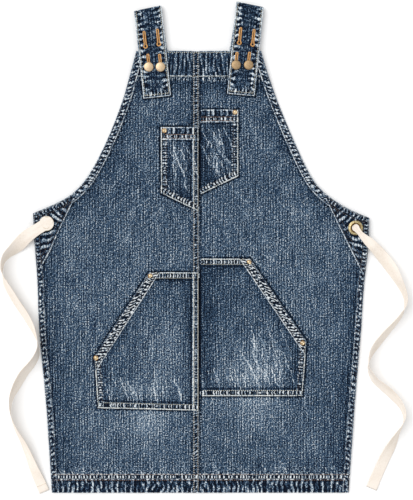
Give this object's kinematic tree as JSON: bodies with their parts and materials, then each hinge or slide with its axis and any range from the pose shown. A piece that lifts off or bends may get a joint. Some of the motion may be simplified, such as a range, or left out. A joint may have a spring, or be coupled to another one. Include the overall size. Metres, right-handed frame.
{
  "type": "bib apron",
  "caption": "Denim bib apron lying flat, with crossed shoulder straps buttoned to the bib, open chest and hand pockets, corner grommets and loose cotton waist ties.",
  "frame": {"origin": "on the table under the middle of the apron's outline, ties left out", "axes": "+X to the apron's right as seen from above, +Y up towards the shoulder straps, +Z away from the table"},
  "size_m": [0.7273, 0.8864, 0.0251],
  "materials": {
    "denim": "washed indigo twill with slubs and faded pockets",
    "folded_denim": "folded and topstitched denim, dark grooves and abraded pale ridges",
    "strap_denim": "double denim with blotchy pale wear",
    "buttonhole_thread": "close ochre buttonhole stitching",
    "cotton_tape": "natural cotton tape",
    "brass": "satin antique brass"
  },
  "bodies": {
    "apron": {"bottom_hem": "folded_denim", "button_tack_1": "brass", "button_tack_2": "brass", "button_tack_3": "brass", "button_tack_4": "brass", "centre_seam": "folded_denim", "left_armhole_binding": "folded_denim", "left_bib_facing": "folded_denim", "left_chest_pocket": "denim", "left_chest_pocket_rivet": "brass", "left_corner_patch": "folded_denim", "left_grommet": "brass", "left_grommet_washer": "brass", "left_hand_pocket": "denim", "left_hand_pocket_side_rivet": "brass", "left_hand_pocket_top_rivet": "brass", "left_panel": "denim", "left_side_hem": "folded_denim", "left_slant_band": "folded_denim", "left_strap": "strap_denim", "left_strap_lower_buttonhole_1": "buttonhole_thread", "left_strap_lower_buttonhole_2": "buttonhole_thread", "left_strap_upper_buttonhole_1": "buttonhole_thread", "left_strap_upper_buttonhole_2": "buttonhole_thread", "left_waist_tape": "cotton_tape", "right_armhole_binding": "folded_denim", "right_bib_facing": "folded_denim", "right_chest_pocket": "denim", "right_chest_pocket_rivet": "brass", "right_corner_patch": "folded_denim", "right_grommet": "brass", "right_grommet_washer": "brass", "right_hand_pocket": "denim", "right_hand_pocket_side_rivet": "brass", "right_hand_pocket_top_rivet": "brass", "right_panel": "denim", "right_side_hem": "folded_denim", "right_slant_band": "folded_denim", "right_strap": "strap_denim", "right_strap_lower_buttonhole_1": "buttonhole_thread", "right_strap_lower_buttonhole_2": "buttonhole_thread", "right_strap_upper_buttonhole_1": "buttonhole_thread", "right_strap_upper_buttonhole_2": "buttonhole_thread", "right_waist_tape": "cotton_tape"},
    "button_1": {"button_1": "brass"},
    "button_2": {"button_2": "brass"},
    "button_3": {"button_3": "brass"},
    "button_4": {"button_4": "brass"},
    "left_tie": {"left_tie": "cotton_tape"},
    "right_tie": {"right_tie": "cotton_tape"}
  },
  "joints": [
    {"name": "button_1_turn", "type": "hinge", "parent": "apron", "child": "button_1", "pos_m": [-0.094, 0.323, 0.0119], "axis": [0, 0, 1], "continuous": true},
    {"name": "button_2_turn", "type": "hinge", "parent": "apron", "child": "button_2", "pos_m": [-0.073, 0.323, 0.0119], "axis": [0, 0, 1], "continuous": true},
    {"name": "button_3_turn", "type": "hinge", "parent": "apron", "child": "button_3", "pos_m": [0.0626, 0.3265, 0.0119], "axis": [0, 0, 1], "continuous": true},
    {"name": "button_4_turn", "type": "hinge", "parent": "apron", "child": "button_4", "pos_m": [0.085, 0.3265, 0.0119], "axis": [0, 0, 1], "continuous": true},
    {"name": "left_tie_swing", "type": "hinge", "parent": "apron", "child": "left_tie", "pos_m": [-0.2775, 0.042, 0.0125], "axis": [0, 0, 1], "range_deg": [-35, 0]},
    {"name": "right_tie_swing", "type": "hinge", "parent": "apron", "child": "right_tie", "pos_m": [0.2768, 0.0347, 0.0125], "axis": [0, 0, 1], "range_deg": [0, 35]}
  ]
}
